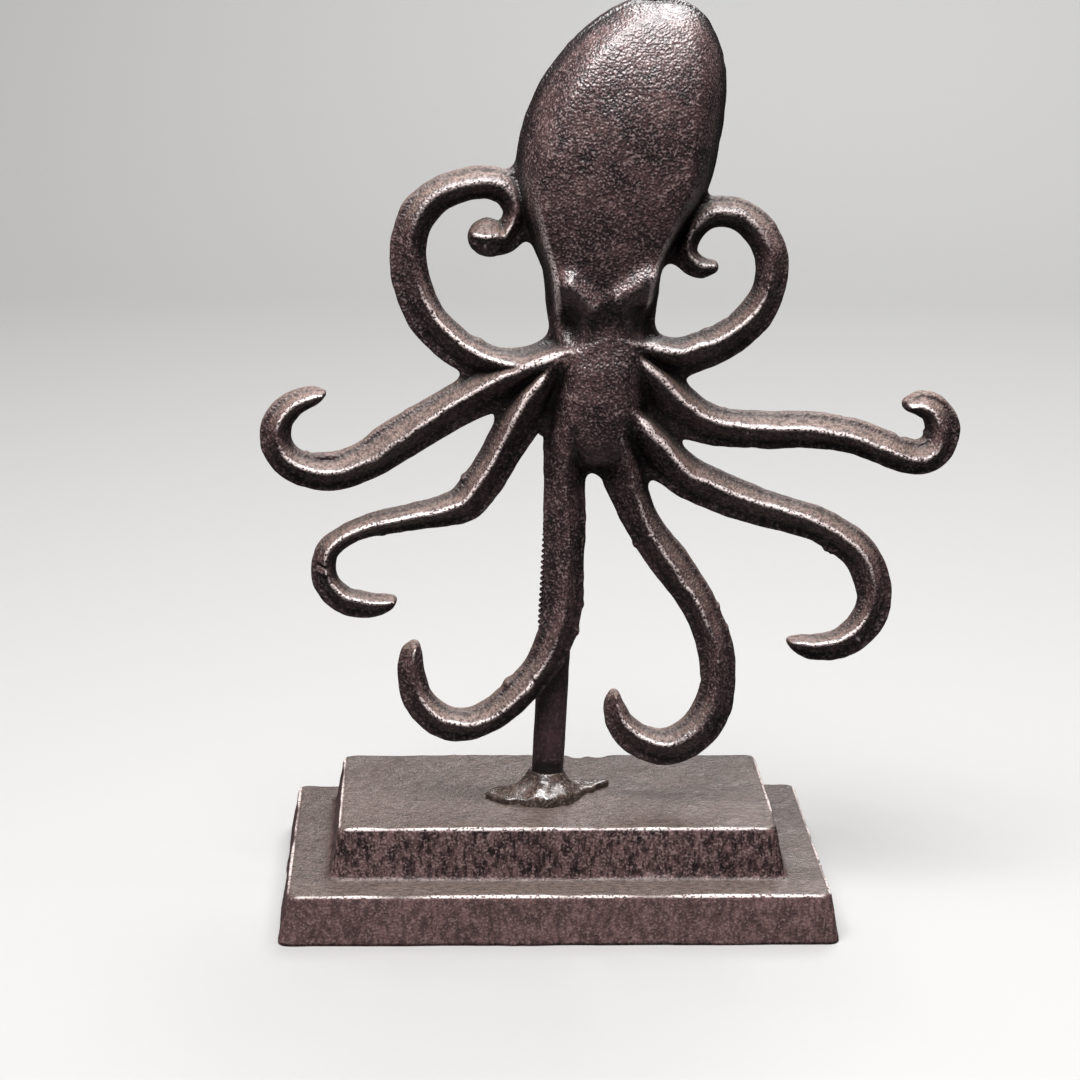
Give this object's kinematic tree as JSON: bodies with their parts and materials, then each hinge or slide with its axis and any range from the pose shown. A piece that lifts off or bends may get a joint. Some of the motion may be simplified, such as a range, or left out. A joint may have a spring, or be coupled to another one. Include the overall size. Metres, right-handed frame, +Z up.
{
  "type": "octopus figurine",
  "caption": "Flat-backed cast-iron octopus with ridged, curling arms, welded to a round post on a stepped rectangular base.",
  "frame": {"origin": "middle of the figurine's footprint box, on the surface that it stands on", "axes": "+X to the viewer's right along the span of the arms, +Y away from the viewer, towards the flat back, +Z up the post"},
  "size_m": [0.1518, 0.075, 0.2003],
  "materials": {
    "octopus_iron": "dark brown, rough cast, with worn ridges",
    "base_iron": "dark brown, rough cast, mottled",
    "post_steel": "dark brown coating over drawn steel",
    "weld_metal": "painted weld metal with bright and rusty spots"
  },
  "bodies": {
    "root": {"base_casting": "base_iron", "post": "post_steel", "base_weld": "weld_metal", "back_weld": "weld_metal", "octopus_body": "octopus_iron", "arm_left_crown": "octopus_iron", "arm_left_upper": "octopus_iron", "arm_left_middle": "octopus_iron", "arm_left_lower": "octopus_iron", "arm_right_lower": "octopus_iron", "arm_right_middle": "octopus_iron", "arm_right_upper": "octopus_iron", "arm_right_crown": "octopus_iron"}
  },
  "joints": []
}
